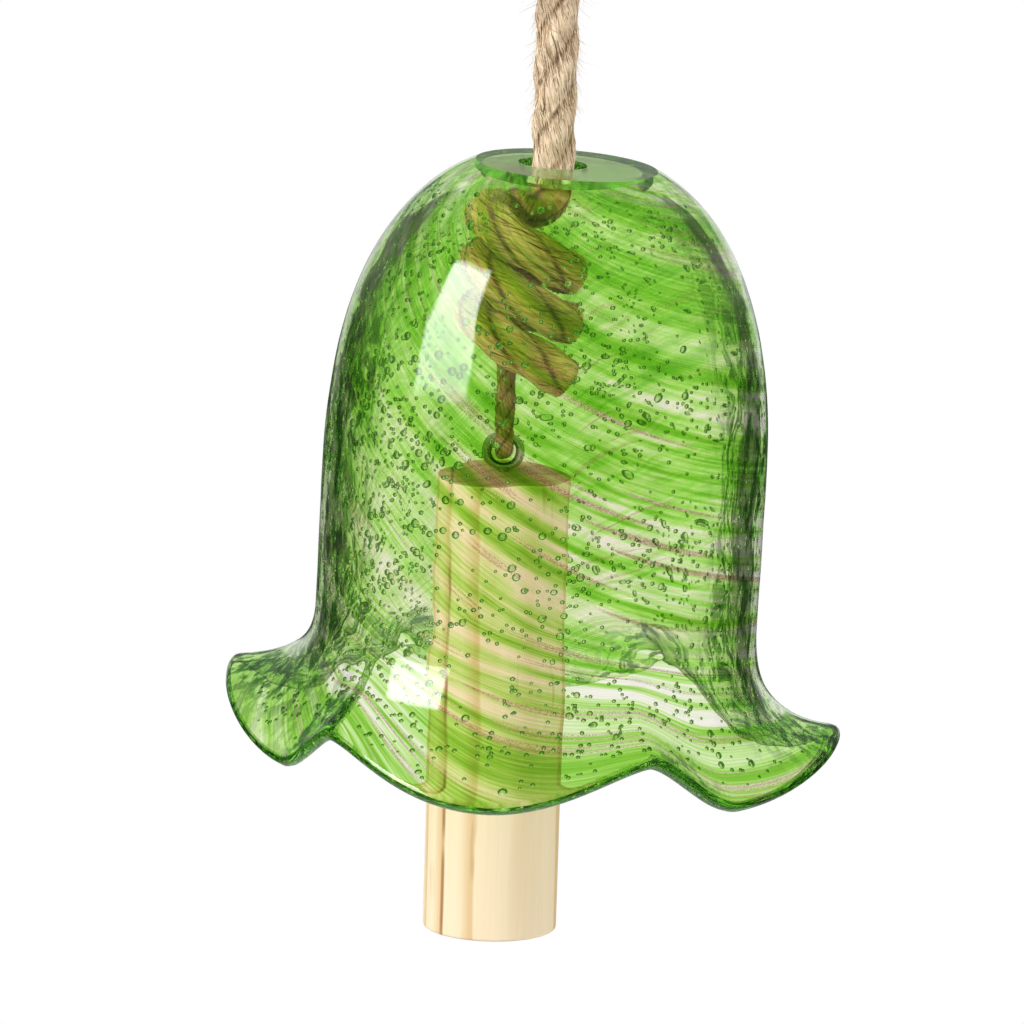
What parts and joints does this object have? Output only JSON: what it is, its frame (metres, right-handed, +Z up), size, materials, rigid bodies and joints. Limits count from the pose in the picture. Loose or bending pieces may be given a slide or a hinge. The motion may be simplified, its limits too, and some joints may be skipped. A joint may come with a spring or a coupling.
{
  "type": "wind bell",
  "caption": "Hand-blown glass wind bell with a ruffled lip, hung on a jute rope, with a wooden dowel clapper that swings inside it and rings it in the wind.",
  "frame": {"origin": "bearing point of the hanging loop, on the middle of the inside of its round top, where a hook carries the bell", "axes": "+Z up along the hanging rope, +X to the right and +Y to the back, seen from the front"},
  "size_m": [0.117, 0.1116, 0.2608],
  "materials": {
    "jute_rope": "laid jute rope, hairy",
    "jute_twine": "twisted jute twine",
    "green_glass": "clear, seeded, with green swirls",
    "zinc_steel": "bright zinc plated",
    "pine": "sanded, bare"
  },
  "bodies": {
    "hanger": {"hanging_loop": "jute_rope", "loop_knot": "jute_rope"},
    "rope": {"hanging_rope": "jute_rope"},
    "knot": {"stopper_knot": "jute_rope"},
    "bell": {"glass_bell": "green_glass"},
    "clapper_cord": {"clapper_cord": "jute_twine"},
    "clapper": {"screw_eye": "zinc_steel", "clapper_dowel": "pine"}
  },
  "joints": [
    {"name": "rope_swing", "type": "hinge", "parent": "hanger", "child": "rope", "pos_m": [0, 0, -0.0694], "axis": [1, 0, 0], "range_deg": [-30, 30]},
    {"name": "bell_swing", "type": "hinge", "parent": "rope", "child": "knot", "pos_m": [0, 0, -0.1074], "axis": [0, 1, 0], "range_deg": [-20, 20]},
    {"name": "bell_spin", "type": "hinge", "parent": "knot", "child": "bell", "pos_m": [0, 0, -0.1054], "axis": [0.0262, 0, 0.9997], "continuous": true},
    {"name": "clapper_cord_swing", "type": "hinge", "parent": "knot", "child": "clapper_cord", "pos_m": [-0.0075, 0, -0.13983], "axis": [1, 0, 0], "range_deg": [-15, 15]},
    {"name": "clapper_swing", "type": "hinge", "parent": "clapper_cord", "child": "clapper", "pos_m": [-0.0075, 0, -0.16012], "axis": [0, 1, 0], "range_deg": [-22, 16]}
  ]
}
